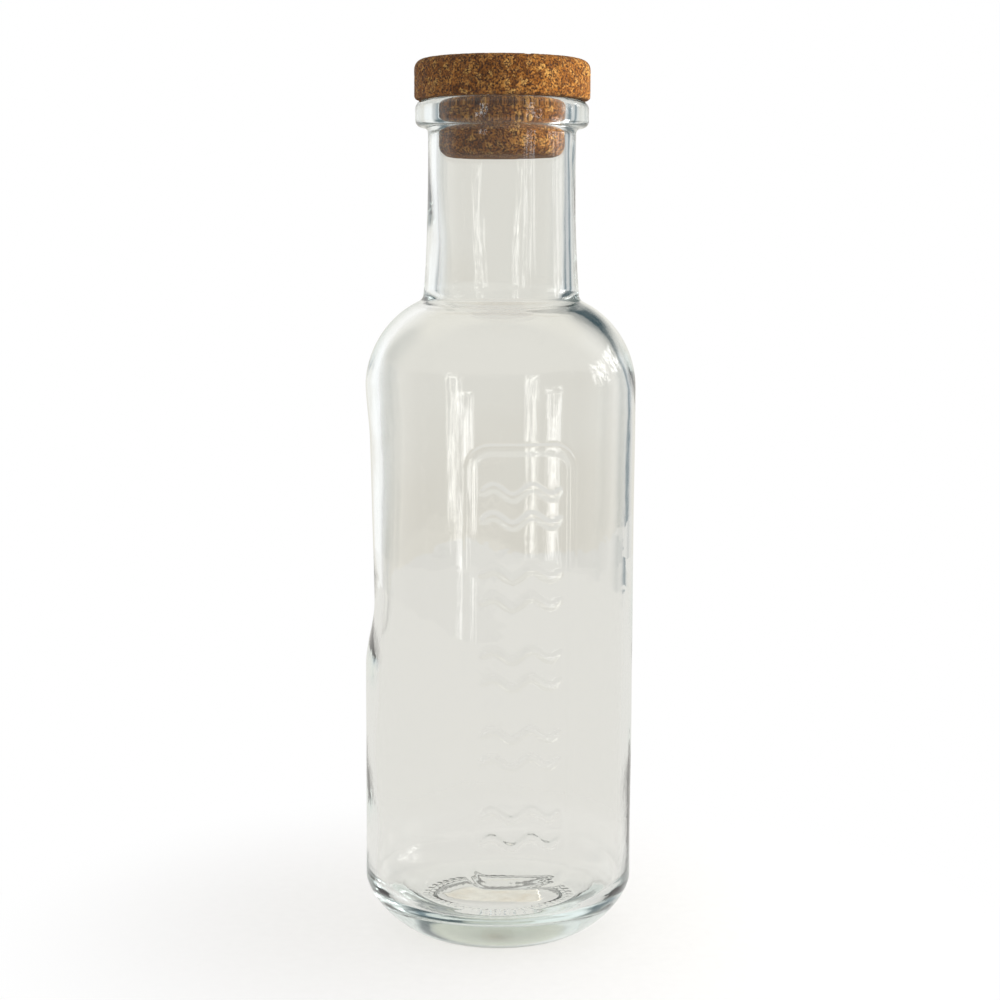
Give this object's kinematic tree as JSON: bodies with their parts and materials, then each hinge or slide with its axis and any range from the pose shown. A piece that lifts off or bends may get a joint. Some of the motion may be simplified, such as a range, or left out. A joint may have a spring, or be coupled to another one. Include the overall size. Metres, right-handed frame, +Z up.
{
  "type": "glass water bottle",
  "caption": "Clear moulded glass water bottle with a round shoulder, long open neck, lip bead, raised panel frame and a lift-off cork stopper.",
  "frame": {"origin": "centre of the surface that the bottle stands on, under the middle of the body", "axes": "+Z up along the bottle's axis towards the stopper, -Y towards the side with the moulded panel, -X towards the pressed grip"},
  "size_m": [0.09, 0.0904, 0.2915],
  "materials": {
    "clear_glass": "clear soda-lime glass with a faint blue-green tint, darker at thick edges, lightly wavy from the mould",
    "cork": "agglomerated cork, granules 1 to 3 mm, matt, light flecks and dark specks",
    "label_paper": "blank uncoated white paper, yellowed, torn edges"
  },
  "bodies": {
    "bottle": {"bottle": "clear_glass", "base_label": "label_paper"},
    "stopper": {"stopper_head": "cork", "stopper_plug": "cork"}
  },
  "joints": [
    {"name": "stopper_pull", "type": "slide", "parent": "bottle", "child": "stopper", "axis": [0, 0, 1], "range_m": [0, 0.06]}
  ]
}
